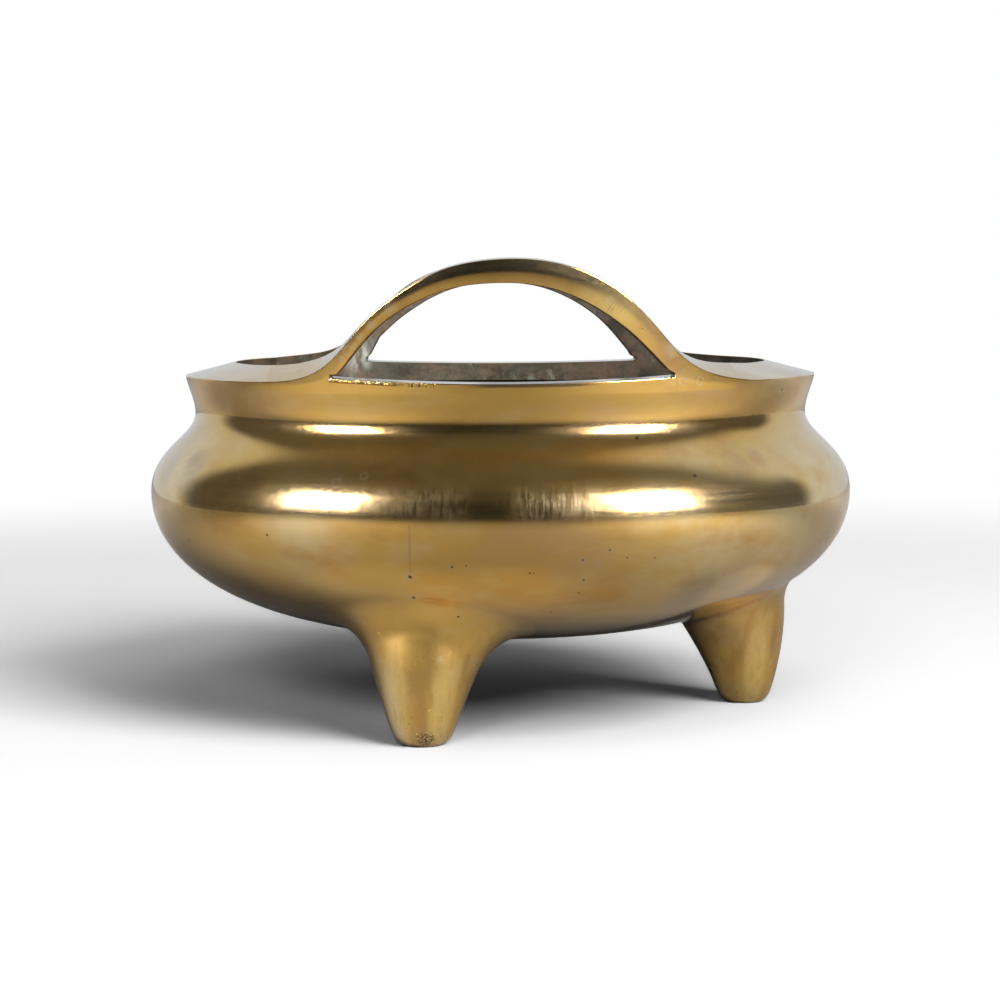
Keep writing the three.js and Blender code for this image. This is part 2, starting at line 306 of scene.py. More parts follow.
def castingProfile():
    # the section's points with a name for each, from under the bowl over the lip to the inside
    seam, rim, neck = bowl["seamHeight"], bowl["rimHeight"], bowl["neckHeight"]
    rimRadius, seamRadius = bowl["rimRadius"], outerRadius(bowl["seamHeight"])
    floor, wall, middle = bowl["undersideHeight"], bowl["wall"], bowl["flatRadius"] / 2
    outside = bellyOutline(bowl["undersideRows"], bowl["shoulderRows"])
    profile = [("pole", 0, floor), ("middle", middle, floor)]
    profile += [("belly", x, z) for x, z in outside]
    for step in range(1, bowl["bandRows"]):
        z = mix(neck, seam, step / bowl["bandRows"])
        profile.append(("band", outerRadius(z), z))
    outer = (("seam", seam), ("low", lowHeight), ("high", highHeight))
    profile += [(name, seamRadius, z) for name, z in outer]
    for name, share, _ in handle["browRows"]:
        z = mix(highHeight, rim, share)
        profile.append((name, outerRadius(z), z))
    for step in range(bowl["lipRows"]):
        share = step / bowl["lipRows"]
        x, z = mix(rimRadius, mouthRadius, share), mix(rim, mouthHeight, share)
        profile.append(("lip" if step else "top", x, z))
    inner = zip(innerRows, (mouthHeight, highHeight, lowHeight, seam))
    profile += [(name, mouthRadius, z) for name, z in inner]
    inside = inwards(bellyOutline(bowl["insideRows"] // 2, bowl["insideRows"] // 2), wall)
    throat = inside[-1]
    reach = bowl["lipUnderReach"]
    hollow = sweep(
        (mouthRadius, lipUnder),
        (mouthRadius + reach, lipUnder),
        (throat[0], throat[1] + reach),
        throat,
        bowl["hollowRows"],
    )
    profile += [("hollow", x, z) for x, z in hollow]
    profile += [("inside", x, z) for x, z in reversed(inside[:-1])]
    return profile + [("middle", middle, floor + wall), ("pole", 0, floor + wall)]


outerRows = ["seam", "low", "high", "browLow", "browHigh", "top"]
innerRows = ["innerTop", "innerHigh", "innerLow", "innerSeam"]
handleRows = {*outerRows, "lip", *innerRows}
profile = castingProfile()
rowNames = [name for name, _, _ in profile]
topRow = rowNames.index("top")
innerTopRow = rowNames.index("innerTop")


def columnAngle(column, radius, straightness):
    # angle from -Y; columns of the handles' zone run straight along Y where straightness is 1
    half = bowl["columns"] // 2
    back = abs(column) > half // 2
    step = half - abs(column) if back else abs(column)
    side = math.copysign(1, column)
    spread = math.asin(handle["halfZone"] / bowl["rimRadius"])
    if step <= zone:
        plain = math.asin(columnPlace(step) / bowl["rimRadius"])
        straight = math.asin(min(columnPlace(step) / radius, 1))
    else:
        share = (step - zone) / (half / 2 - zone)
        plain = mix(spread, math.pi / 2, share)
        straight = mix(math.asin(min(handle["halfZone"] / radius, 1)), math.pi / 2, share)
    angle = mix(plain, straight, straightness)
    return side * (math.pi - angle if back else angle)


def zoneColumn(column):
    # the column's number within a handle, front or back, or None beside the handles
    half = bowl["columns"] // 2
    if abs(column) <= zone:
        return column
    if half - abs(column) <= zone:
        # the back handle is the front one turned half round
        return -int(math.copysign(half - abs(column), column)) if abs(column) < half else 0
    return None


def browRoll(column, plan):
    share = (plan["end"] - abs(columnPlace(column))) / (plan["end"] - plan["full"])
    return plan["roll"] * smoothStep(share)


def backDraft(place):
    # how far the back window's columns are drawn in towards its middle
    across = abs(columnPlace(place))
    end, zoneEnd = handle["halfWindow"], handle["halfZone"]
    begin, rate = handle["backDraft"][-1 if place < 0 else 1]
    drawn = rate * max(min(across, end) - begin, 0)
    return drawn if across <= end else drawn * smoothStep((zoneEnd - across) / (zoneEnd - end))


def straightnessOf(name, row, height):
    # how straight a row runs along Y where a handle stands: 1 if straight, 0 if round
    if name == "band":
        neck = bowl["neckHeight"]
        return smoothStep((height - neck) / (bowl["seamHeight"] - neck))
    if name == "hollow":
        return 1 - smoothStep((row - rowNames.index("hollow")) / (bowl["hollowRows"] - 1))
    return 1 if name in handleRows else 0


def castingPlace(row, column):
    # radius, angle from -Y and height of the casting's point in a row and a column
    name, radius, height = profile[row]
    if name == "lip":
        share = (row - topRow) / bowl["lipRows"]
        ends = castingPlace(topRow, column), castingPlace(innerTopRow, column)
        return tuple(mix(outer, inner, share) for outer, inner in zip(*ends))
    place = zoneColumn(column)
    roll = 0
    straightness = straightnessOf(name, row, height)
    if place is not None:
        low, high, top, innerTop = zoneHeights(place)
        heights = {"low": low, "high": high, "top": top}
        heights.update({"innerTop": innerTop, "innerHigh": high, "innerLow": low})
        topRoll = browRoll(place, handle["browTop"])
        rolls = {"top": topRoll, "high": browRoll(place, handle["browFoot"])}
        for brow, share, back in handle["browRows"]:
            heights[brow] = mix(high, top, share)
            rolls[brow] = back * topRoll / handle["browTop"]["roll"]
        height = heights.get(name, height)
        roll = rolls.get(name, 0)
    if name in outerRows[1:]:
        radius = outerRadius(height) - roll
    if name in innerRows[:-1]:
        radius = innerRadius(height)
    turn = columnAngle(column, max(radius, 1), straightness)
    beside = name in ("low", "high", "innerHigh", "innerLow")
    if place and abs(turn) > math.pi / 2 and beside:
        turn += math.copysign(math.asin(backDraft(place) / radius), turn)
    return radius, turn, height


def spunRows(points, columns):
    # a profile turned round Z, with each vertex's row kept in a layer
    mesh = bmesh.new()
    rowLayer = mesh.verts.layers.int.new("row")
    line = []
    for row, (x, z) in enumerate(points):
        vertex = mesh.verts.new((x, 0, z))
        vertex[rowLayer] = row
        line.append(vertex)
    edges = [mesh.edges.new(pair) for pair in zip(line, line[1:])]
    bmesh.ops.spin(
        mesh,
        geom=line + edges,
        cent=(0, 0, 0),
        axis=(0, 0, 1),
        angle=2 * math.pi,
        steps=columns,
        use_merge=True,
    )
    return mesh, rowLayer


def patinaDepth(row, column):
    # how far a point lies inside the skin that was never polished; polished where negative
    name = rowNames[row]
    place = zoneColumn(column)
    inWindow = place is not None and abs(place) <= window
    if name == "lip":
        return -bowl["lipWidth"] * (1 - (row - topRow) / bowl["lipRows"])
    if name == "innerTop" or (inWindow and name in ("low", "high", "innerLow")):
        return 0
    return patinaReach if row > innerTopRow else -patinaReach


def buildCasting():
    columns = bowl["columns"]
    mesh, rowLayer = spunRows([(x, z) for _, x, z in profile], columns)
    columnLayer = mesh.verts.layers.int.new("column")
    patinaLayer = mesh.verts.layers.float.new("patina")
    for vertex in mesh.verts:
        name = rowNames[vertex[rowLayer]]
        vertex[patinaLayer] = patinaDepth(vertex[rowLayer], 0)
        if name == "pole":
            continue
        turn = math.atan2(vertex.co.x, -vertex.co.y)
        column = round(turn / (2 * math.pi) * columns)
        if column == -columns // 2:
            column = columns // 2
        vertex[columnLayer] = column
        vertex[patinaLayer] = patinaDepth(vertex[rowLayer], column)
        radius, angle, height = castingPlace(vertex[rowLayer], column)
        vertex.co = (radius * math.sin(angle), -radius * math.cos(angle), height)
    poles = [v for v in mesh.verts if rowNames[v[rowLayer]] == "pole"]
    bmesh.ops.remove_doubles(mesh, verts=poles, dist=poleReach)
    return mesh, rowLayer, columnLayer


# Until the casting is parted, a face's material number says which piece it belongs to,
# because a bevel hands that number on to the faces that it makes.
bowlPart = 0
handleParts = {-1: 1, 1: 2}


def sideOf(face):
    return 1 if face.calc_center_median().y > 0 else -1


def cutWindows(mesh, rowLayer, columnLayer):
    def spanned(face):
        rows = {rowNames[v[rowLayer]] for v in face.verts}
        places = [zoneColumn(v[columnLayer]) for v in face.verts]
        return rows, math.inf if None in places else max(abs(place) for place in places)

    windowRows = ({"low", "high"}, {"innerLow", "innerHigh"})
    sillRows = ({"seam", "low"}, {"innerLow", "innerSeam"})
    gone = {1: [], -1: []}
    for face in mesh.faces:
        rows, reach = spanned(face)
        if rows in windowRows and reach <= window:
            gone[sideOf(face)].append(face)
        elif rows <= handleRows and reach <= handle["seamColumn"]:
            inSill = rows in sillRows and reach <= window
            face.material_index = bowlPart if inSill else handleParts[sideOf(face)]
    for side in (-1, 1):
        bmesh.ops.delete(mesh, geom=gone[side], context="FACES")
        rims = [
            edge
            for edge in mesh.edges
            if edge.is_boundary and (edge.verts[0].co.y + edge.verts[1].co.y) * side > 0
        ]
        bridged = bmesh.ops.bridge_loops(mesh, edges=rims)
        across = set()
        for face in bridged["faces"]:
            names = {rowNames[v[rowLayer]] for v in face.verts}
            inSill = names == {"low", "innerLow"}
            face.material_index = bowlPart if inSill else handleParts[side]
            for edge in face.edges:
                ends = [rowNames[v[rowLayer]].startswith("inner") for v in edge.verts]
                if ends[0] != ends[1]:
                    across.add(edge)
        cuts = handle["windowCuts"]
        bmesh.ops.subdivide_edges(mesh, edges=list(across), cuts=cuts, use_grid_fill=True)


def roundEdges(mesh, rowLayer):
    rimRows = ({topRow}, {innerTopRow}, {rowNames.index("hollow")})
    sharp = math.radians(bowl["sharpFold"])
    rims, windows = [], []
    for edge in mesh.edges:
        if len(edge.link_faces) == 2 and edge.calc_face_angle(0) >= sharp:
            onRim = {v[rowLayer] for v in edge.verts} in rimRows
            (rims if onRim else windows).append(edge)
    for edges, offset, steps in (
        (windows, handle["windowRounding"], handle["windowSteps"]),
        (rims, bowl["edgeRounding"], bowl["edgeSteps"]),
    ):
        bmesh.ops.bevel(
            mesh, geom=[edge for edge in edges if edge.is_valid], offset=offset,
            offset_type="OFFSET", segments=steps, profile=0.5, affect="EDGES",
            clamp_overlap=True, material=-1,
        )


def weighShading(mesh):
    # wide faces keep their own direction, so that the rounded edges beside them stay crisp
    mesh.normal_update()
    shading = {}
    for vertex in mesh.verts:
        total = Vector()
        for face in vertex.link_faces:
            corner = next(loop for loop in face.loops if loop.vert == vertex)
            total += face.normal * face.calc_area() * corner.calc_angle()
        shading[vertex.index] = total.normalized()
    return shading


def dropTwins(mesh):
    # where a cap has laid a triangle on one that was there, both go
    seen = {}
    for face in mesh.faces:
        seen.setdefault(frozenset(vertex.index for vertex in face.verts), []).append(face)
    twins = [face for faces in seen.values() if len(faces) > 1 for face in faces]
    bmesh.ops.delete(mesh, geom=twins, context="FACES")


def cornerPlace(vertex):
    return [round(part, 4) for part in vertex.co.yxz]  # the digits after these can waver


def splitWideFaces(mesh):
    # each face is first begun at its foremost corner: the operators leave its beginning to
    # chance, and its triangles would change from run to run with that
    wide = []
    for face in [face for face in mesh.faces if len(face.verts) > 4]:
        corners = [loop.vert for loop in face.loops]
        first = corners.index(min(corners, key=cornerPlace))
        mesh.faces.remove(face)
        wide.append(mesh.faces.new(corners[first:] + corners[:first]))
        wide[-1].normal_update()
    bmesh.ops.triangulate(mesh, faces=wide)


def finishedPiece(name, mesh, shadeLayer=None):
    # a bmesh in millimetres made an object in metres
    splitWideFaces(mesh)
    mesh.verts.index_update()
    dropTwins(mesh)
    bmesh.ops.scale(mesh, vec=(metresPerMm,) * 3, verts=mesh.verts)
    for face in mesh.faces:
        face.smooth = True
        face.material_index = 0
    data = bpy.data.meshes.new(name)
    mesh.to_mesh(data)
    if shadeLayer:
        data.normals_split_custom_set_from_vertices([vertex[shadeLayer] for vertex in mesh.verts])
    piece = added(name, data)
    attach(piece, "root")
    return piece


def buildPieces():
    mesh, rowLayer, columnLayer = buildCasting()
    cutWindows(mesh, rowLayer, columnLayer)
    bmesh.ops.recalc_face_normals(mesh, faces=mesh.faces)
    roundEdges(mesh, rowLayer)
    mesh.verts.index_update()
    shadeLayer = mesh.verts.layers.float_vector.new("shade")
    shading = weighShading(mesh)
    for vertex in mesh.verts:
        vertex[shadeLayer] = shading[vertex.index]
    pieces = {}
    parts = {"bowl": bowlPart, "handle_front": handleParts[-1], "handle_back": handleParts[1]}
    for name, part in parts.items():
        share = mesh.copy()
        others = [face for face in share.faces if face.material_index != part]
        bmesh.ops.delete(share, geom=others, context="FACES")
        holes = [edge for edge in share.edges if edge.is_boundary]
        caps = bmesh.ops.holes_fill(share, edges=holes, sides=0)
        print(name, "faces", len(share.faces), "caps", len(caps["faces"]))
        layer = share.verts.layers.float_vector["shade"]
        pieces[name] = finishedPiece("cast_" + name, share, layer)
        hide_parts(name)
    return pieces


# Legs

leg = {
    "footCircle": 88.2,
    "footFlat": 5.6,
    "toeHeight": 5.2,
    "rootHeight": 30,
    "rootGrowth": 10.65,
    "rootDrift": 4.6,
    "outerFillet": 8,
    "innerFillet": 3.5,
    "columns": 96,
    "toeRows": 8,
    "coneRows": 12,
    "flareRows": 18,
    "halvings": 40,  # to find where a line meets the belly
    "seatStep": 0.5,  # over which the belly's slope is taken
    "seatDepth": 0.01,  # the fillet ends this far under the belly's skin
    # the hidden end: how far past the fillet and how deep, then shares of the way to the middle
    "tuck": [(1.5, 0.05), (2.5, 0.5)],
    "tuckShares": (0.55, 0.3),
    "tuckStart": 0.8,
    "sink": 1.5,  # how deep its middle lies in the bowl's wall
}

legPlans = [
    {"name": "leg_front_left", "azimuth": -107.6, "lineRadius": 9, "sideFillet": 14},
    {"name": "leg_right", "azimuth": 0, "lineRadius": 8.4, "sideFillet": 10},
    {"name": "leg_back_left", "azimuth": 115, "lineRadius": 8.4, "sideFillet": 12},
]

seatSamples = 240  # from which the belly's height over the legs is read
seatPoints = bellyOutline(seatSamples, bowl["shoulderRows"])[:seatSamples]
seatReaches = [x for x, _ in seatPoints]


def seatHeight(point):
    reach = math.hypot(point.x, point.y)
    if reach <= seatPoints[0][0]:
        return seatPoints[0][1]
    high = min(bisect_right(seatReaches, reach), seatSamples - 1)
    (x0, z0), (x1, z1) = seatPoints[high - 1], seatPoints[high]
    return mix(z0, z1, (reach - x0) / (x1 - x0))


def conePoint(plan, height, angle):
    rise = height / leg["rootHeight"]
    radius = plan["lineRadius"] + leg["rootGrowth"] * rise
    centre = leg["footCircle"] - leg["rootDrift"] * rise**2
    return Vector((centre + radius * math.cos(angle), radius * math.sin(angle), height))


def meeting(plan, angle, ceiling):
    low, high = 0, bowl["bellyHeight"]
    for _ in range(leg["halvings"]):
        middle = (low + high) / 2
        if middle < ceiling(conePoint(plan, middle, angle)):
            low = middle
        else:
            high = middle
    return conePoint(plan, low, angle)


def bend(start, corner, end, count):
    points = []
    for step in range(count):
        t = step / (count - 1)
        points.append(start * (1 - t) ** 2 + corner * 2 * t * (1 - t) + end * t**2)
    return points


def legLine(plan, angle):
    out = Vector((math.cos(angle), math.sin(angle), 0))
    ends = mix(leg["innerFillet"], leg["outerFillet"], (1 + out.x) / 2)
    fillet = mix(ends, plan["sideFillet"], out.y**2)
    beyond = meeting(plan, angle, seatHeight) + out * fillet
    beyond.z = seatHeight(beyond) - leg["seatDepth"]
    before = beyond - out * leg["seatStep"]
    slope = (seatHeight(beyond) - seatHeight(before)) / leg["seatStep"]
    corner = meeting(plan, angle, lambda point: beyond.z + slope * (point - beyond).dot(out))
    below = conePoint(plan, corner.z - fillet, angle)
    foot = Vector((leg["footCircle"], 0, 0))
    toeStart = foot + out * leg["footFlat"]
    toeEnd = conePoint(plan, leg["toeHeight"], angle)
    line = [foot + out * 0.5 * leg["footFlat"]]
    line += bend(toeStart, conePoint(plan, 0, angle), toeEnd, leg["toeRows"])
    for step in range(1, leg["coneRows"]):
        line.append(conePoint(plan, mix(leg["toeHeight"], below.z, step / leg["coneRows"]), angle))
    line += bend(below, corner, beyond, leg["flareRows"])
    for reach, depth in leg["tuck"]:
        hidden = beyond + out * reach
        hidden.z = seatHeight(hidden) + depth
        line.append(hidden)
    inner = [foot + (line[-1] - foot) * leg["tuckStart"]]
    inner += [foot + (beyond - foot) * share for share in leg["tuckShares"]]
    for hidden in inner:
        hidden.z = seatHeight(hidden) + leg["sink"]
    return line + inner


def buildLeg(plan):
    columns = leg["columns"]
    lines = [legLine(plan, 2 * math.pi * step / columns) for step in range(columns)]
    rows = len(lines[0])
    # this profile only sets up the rows and columns, whose points are then placed
    standIn = [(0, -1), *((10 + row, row) for row in range(rows)), (0, rows)]
    mesh, rowLayer = spunRows(standIn, columns)
    foot = Vector((leg["footCircle"], 0, 0))
    for vertex in mesh.verts:
        row = vertex[rowLayer]
        if row == 0:
            vertex.co = foot
        elif row == rows + 1:
            vertex.co = foot
            vertex.co.z = seatHeight(foot) + leg["sink"]
        else:
            turn = math.atan2(vertex.co.y, vertex.co.x)
            vertex.co = lines[round(turn / (2 * math.pi) * columns) % columns][row - 1]
    poles = [v for v in mesh.verts if v[rowLayer] in (0, rows + 1)]
    bmesh.ops.remove_doubles(mesh, verts=poles, dist=poleReach)
    turned = Matrix.Rotation(math.radians(plan["azimuth"]), 3, "Z")
    bmesh.ops.rotate(mesh, cent=(0, 0, 0), matrix=turned, verts=mesh.verts)
    bmesh.ops.recalc_face_normals(mesh, faces=mesh.faces)
    piece = finishedPiece("cast_" + plan["name"], mesh)
    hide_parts(plan["name"])
    return piece


pieces = buildPieces()
print("casting modelled")
for plan in legPlans:
    pieces[plan["name"]] = buildLeg(plan)
print("legs modelled")


# Shading tools

class Wiring:
    # makes shader nodes and joins them, so that a material reads as a list of steps

    def __init__(self, tree):
        self.tree = tree

    def feed(self, socket, value):
        if isinstance(value, bpy.types.NodeSocket):
            self.tree.links.new(value, socket)
        else:
            socket.default_value = value

    def node(self, kind, inputs=None, **settings):
        made = self.tree.nodes.new("ShaderNode" + kind)
        for name, value in settings.items():
            setattr(made, name, value)
        for name, value in (inputs or {}).items():
            self.feed(made.inputs[name], value)
        return made

    def math(self, operation, *values):
        return self.node("Math", dict(enumerate(values)), operation=operation).outputs[0]

    def vector(self, operation, *values, **named):
        inputs = {**dict(enumerate(values)), **named}
        outputs = self.node("VectorMath", inputs, operation=operation).outputs
        return outputs["Value" if operation in ("DISTANCE", "LENGTH") else "Vector"]

    def ramp(self, value, low, high, start=0.0, end=1.0):
        made = self.node(
            "MapRange",
            {"Value": value, "From Min": low, "From Max": high, "To Min": start, "To Max": end},
            interpolation_type="SMOOTHSTEP",
        )
        return made.outputs["Result"]

    def blendValue(self, share, first, second):
        made = self.node("MapRange", {"Value": share, "To Min": first, "To Max": second})
        return made.outputs["Result"]

    def blend(self, share, first, second):
        made = self.node("Mix", {"Factor": share}, data_type="RGBA")
        for name, colour in (("A", first), ("B", second)):
            self.feed(next(s for s in made.inputs if s.name == name and s.type == "RGBA"), colour)
        return next(s for s in made.outputs if s.type == "RGBA")

    def shaders(self, share, first, second):
        return self.node("MixShader", {0: share, 1: first, 2: second}).outputs[0]


# Brass

brassTones = {
    "gold": (0.76, 0.45, 0.10, 1),
    "brown": (0.56, 0.29, 0.07, 1),  # a thin tarnish; on the front foot it is also a painted dark reflection of the shaded floor
    "rose": (0.70, 0.42, 0.20, 1),
    "straw": (0.80, 0.53, 0.19, 1),
    "film": (0.82, 0.76, 0.58, 1),  # polish that has dried
    "amber": (0.74, 0.36, 0.055, 1),
    # the next two tones are painted highlight and sheen, laid where the brass shows bright
    # reflections
    "paleSheen": (0.92, 0.74, 0.42, 1),
    "lemonSheen": (0.97, 0.67, 0.20, 1),
    "pit": (0.085, 0.058, 0.03, 1),
    "silver": (0.52, 0.50, 0.40, 1),
    "rust": (0.46, 0.17, 0.05, 1),
    "dusk": (0.36, 0.24, 0.15, 1),
}

patinaTones = {
    "umber": (0.055, 0.042, 0.024, 1),
    "ash": (0.115, 0.10, 0.068, 1),
    "rosy": (0.21, 0.138, 0.088, 1),
    "verdigris": (0.24, 0.27, 0.20, 1),
    "chalk": (0.62, 0.63, 0.55, 1),
}

pitFinish = {"tone": "pit", "roughness": 0.6, "metallic": 0.3, "coat": 0}
dielectricSpecular = 0.12  # keeps the dull patina from looking milky


class BrassSurface:
    # a finish in the making, in millimetres: each step lays something over what is there

    def __init__(self, name, plan):
        self.material = bpy.data.materials.new(name)
        self.material.use_nodes = True
        self.wire = wire = Wiring(self.material.node_tree)
        self.colour, self.metallic, self.height = brassTones["gold"], 1.0, 0.0
        self.roughness, self.coat = plan["roughness"], plan["coat"]
        self.coatRoughness = plan["coatRoughness"]
        metres = wire.node("TexCoord").outputs["Object"]
        self.place = wire.vector("SCALE", metres, Scale=1 / metresPerMm)
        self.x, self.y, self.z = wire.node("SeparateXYZ", {0: self.place}).outputs
        squares = [wire.math("POWER", flat, 2.0) for flat in (self.x, self.y)]
        self.reach = wire.math("SQRT", wire.math("ADD", *squares))
        self.ragged = self.moved(0.9, 0.9)  # the small marks' uneven outlines
        self.drifted = self.moved(0.09, 9)  # and the stains'

    def moved(self, scale, amount):
        wire = self.wire
        drift = wire.node("TexNoise", {"Vector": self.place, "Scale": scale, "Detail": 2})
        centred = wire.vector("SUBTRACT", drift.outputs["Color"], (0.5, 0.5, 0.5))
        return wire.vector("ADD", self.place, wire.vector("SCALE", centred, Scale=amount))

    def spread(self, stretch=(1, 1, 1), shift=(0, 0, 0)):
        inputs = {"Vector": self.place, "Location": shift, "Scale": stretch}
        return self.wire.node("Mapping", inputs).outputs[0]

    def cloud(self, scale, detail, stretch, shift, roughness=0.55):
        inputs = {"Scale": scale, "Detail": detail, "Roughness": roughness}
        inputs["Vector"] = self.spread(stretch, shift)
        return self.wire.node("TexNoise", inputs).outputs["Fac"]

    def noise(self, name):
        return self.cloud(*noises[name])

    def cuts(self, across, scale):
        # lines square to a direction, in uneven steps
        inputs = {"W": across, "Scale": scale, "Detail": 1}
        return self.wire.node("TexNoise", inputs, noise_dimensions="1D").outputs["Fac"]

    def rings(self, across, along):
        # fine lines that run round the axis, on upright and on level surfaces alike
        inputs = {"Vector": self.spread((along, along, across)), "Scale": 1, "Detail": 2}
        inputs["W"] = self.wire.math("MULTIPLY", self.reach, across)
        return self.wire.node("TexNoise", inputs, noise_dimensions="4D").outputs["Fac"]

    def spot(self, place, radius, soft=0.5, ragged=True):
        source = self.ragged if ragged else self.drifted
        away = self.wire.vector("DISTANCE", source, place)
        return self.wire.ramp(away, radius * (1 + soft), radius * (1 - soft))

    def spots(self, places, soft=0.5, ragged=True):
        # places are (x, y, z, radius)
        total = None
        for x, y, z, radius in places:
            one = self.spot((x, y, z), radius, soft, ragged)
            total = one if total is None else self.wire.math("MAXIMUM", total, one)
        return total

    def ring(self, place, radius, width):
        away = self.wire.vector("DISTANCE", self.place, place)
        off = self.wire.math("ABSOLUTE", self.wire.math("SUBTRACT", away, radius))
        return self.wire.ramp(off, width, width * 0.3)

    def within(self, value, low, high, soft):
        up = self.wire.ramp(value, low - soft, low + soft)
        return self.times(up, self.wire.ramp(value, high + soft, high - soft))

    def front(self, start=-90, full=-100):
        # only the side towards the camera
        return self.wire.ramp(self.y, start, full)

    def times(self, *shares):
        total = shares[0]
        for share in shares[1:]:
            total = self.wire.math("MULTIPLY", total, share)
        return total

    def specks(self, scale, radius, rarity, shift=(0, 0, 0)):
        # dots about 1 / scale apart, of which only those past the rarity are kept
        wire = self.wire
        inputs = {"Vector": self.spread(shift=shift), "Scale": scale}
        cells = wire.node("TexVoronoi", inputs).outputs
        luck = wire.node("SeparateColor", {0: cells["Color"]}).outputs
        size = wire.blendValue(luck[1], radius * 0.4 * scale, radius * scale)
        dot = wire.ramp(cells["Distance"], size, wire.math("MULTIPLY", size, 0.5))
        return self.times(dot, wire.math("GREATER_THAN", luck[0], rarity))

    def lay(self, share, tone=None, height=None, **finish):
        # a tone is a name or a socket; the finish is roughness, metallic or coat
        if tone is not None:
            colour = brassTones[tone] if isinstance(tone, str) else tone
            self.colour = self.wire.blend(share, self.colour, colour)
        for name, value in finish.items():
            setattr(self, name, self.wire.blendValue(share, getattr(self, name), value))
        if height is not None:
            self.lift(share, height)

    def laySpots(self, places, soft, share, ragged=True, **looks):
        self.lay(self.times(self.spots(places, soft, ragged), share), **looks)

    def layRings(self, places, share, width=0.35, **looks):
        for x, y, z, radius in places:
            self.lay(self.times(self.ring((x, y, z), radius, width), share), tone="film", **looks)

    def lift(self, share, height):
        self.height = self.wire.math("ADD", self.height, self.wire.math("MULTIPLY", share, height))

    def finish(self):
        shader = self.material.node_tree.nodes["Principled BSDF"]
        bump = {"Strength": 1, "Distance": metresPerMm, "Height": self.height}
        for name, value in (
            ("Base Color", self.colour),
            ("Roughness", self.roughness),
            ("Metallic", self.metallic),
            ("Coat Weight", self.coat),
            ("Coat Roughness", self.coatRoughness),
            ("Specular IOR Level", dielectricSpecular),
            ("Normal", self.wire.node("Bump", bump).outputs[0]),
        ):
            self.wire.feed(shader.inputs[name], value)
        return self.material


# The noises that the finishes are made from: scale, detail, stretch, shift and roughness
noises = {
    "waves": (0.026, 1, (1, 1, 1), (0, 0, 0), 0.55),
    "rubbed": (9, 0, (1, 1, 1), (3, 3, 3), 0.55),
    "scratches": (1.1, 3, (0.25, 0.25, 1), (11, 5, 7), 0.6),
    "paleSheenNoise": (0.05, 4, (1, 1, 2), (0, 0, 0), 0.55),
    "warm": (0.09, 4, (1, 1, 2.5), (0, 0, 0), 0.55),
    "strokes": (1.4, 4, (1, 0.12, 0.12), (0, 0, 3), 0.65),
    "clots": (0.14, 5, (1, 1, 1.3), (41, 3, 60), 0.65),
    "lumps": (0.55, 3, (1, 1, 1.4), (2, 2, 8), 0.6),
    "filed": (0.35, 2, (1, 1, 1), (0, 0, 0), 0.55),
    "bands": (0.22, 2, (1, 1, 0.05), (1, 9, 0), 0.55),
    "sheenStreaks": (0.5, 3, (1, 1, 0.06), (4, 4, 4), 0.55),
    "pores": (1.6, 4, (1, 1, 1.6), (4, 4, 4), 0.7),
    "skinEdge": (0.9, 3, (1, 1, 1), (0, 0, 0), 0.55),
    "skinClouds": (0.11, 5, (1, 1, 1.5), (9, 4, 2), 0.65),
    "skinPatches": (0.06, 5, (1, 1, 1.6), (77, 12, 5), 0.65),
    "skinBloom": (0.16, 6, (1, 1, 0.5), (5, 51, 9), 0.7),
    "skinGrain": (0.55, 5, (1, 1, 0.6), (3, 8, 1), 0.7),
}

# Every finish has the same metal under it: uneven tarnish, faint waves of the casting and
# the lines that the polishing left, along the piece's own direction.

finishes = {
    "bowl": {
        "roughness": 0.045,
        "haze": 0.24,
        "tarnish": 0.6,
        "patchScale": 0.03,
        "patchStretch": (1, 1, 2.2),
        "waves": 0.10,
        "rings": (0.85, 0.018),
        "lines": 0.003,
        "coat": 0.52,
        "coatRoughness": 0.24,
    },
    "handle": {
        "roughness": 0.05,
        "haze": 0.22,
        "tarnish": 0.5,
        "patchScale": 0.05,
        "patchStretch": (1, 1, 1.2),
        "waves": 0.04,
        "streaks": (1.3, 3, (0.2, 1, 0.35), (6, 2, 0), 0.6),
        "lines": 0.002,
        "coat": 0.35,
        "coatRoughness": 0.36,
    },
    "leg": {
        "roughness": 0.21,
        "haze": 0.35,
        "tarnish": 0.5,
        "patchScale": 0.03,
        "patchStretch": (1, 1, 2.2),
        "waves": 0.06,
        "streaks": (1.0, 3, (1, 1, 0.03), (3, 3, 0), 0.6),
        "lines": 0.006,
        "coat": 0.5,
        "coatRoughness": 0.35,
    },
}


def polishedMetal(name):
    plan = finishes[name]
    surface = BrassSurface(name + " brass", plan)
    wire = surface.wire
    scale, stretch, roughness = plan["patchScale"], plan["patchStretch"], plan["roughness"]
    # tone, size against the finish's patches, detail, shift, where in the noise, and how much
    for tone, size, detail, shift, low, high, most in (
        ("brown", 1, 4, (0, 0, 0), 0.47, 0.70, plan["tarnish"]),
        ("rose", 0.7, 3, (140, 60, 20), 0.50, 0.72, 0.55),
        ("straw", 1.3, 4, (-90, 30, 75), 0.52, 0.70, 0.6),
    ):
        clouds = surface.cloud(scale * size, detail, stretch, shift)
        surface.lay(wire.ramp(clouds, low, high, 0, most), tone=tone)
    film = surface.cloud(scale * 2.2, 5, stretch, (33, -71, 8), 0.65)
    surface.lay(wire.ramp(film, 0.50, 0.75, 0, 0.5), roughness=roughness + 0.025)
    surface.lay(wire.ramp(surface.noise("rubbed"), 0.55, 0.66), roughness=plan["haze"])
    streaks = surface.rings(*plan["rings"]) if "rings" in plan else surface.cloud(*plan["streaks"])
    surface.lay(wire.ramp(streaks, 0.45, 0.72, 0, 0.4), roughness=roughness + 0.02)
    surface.lift(surface.noise("waves"), plan["waves"])
    surface.lift(streaks, plan["lines"])
    return surface
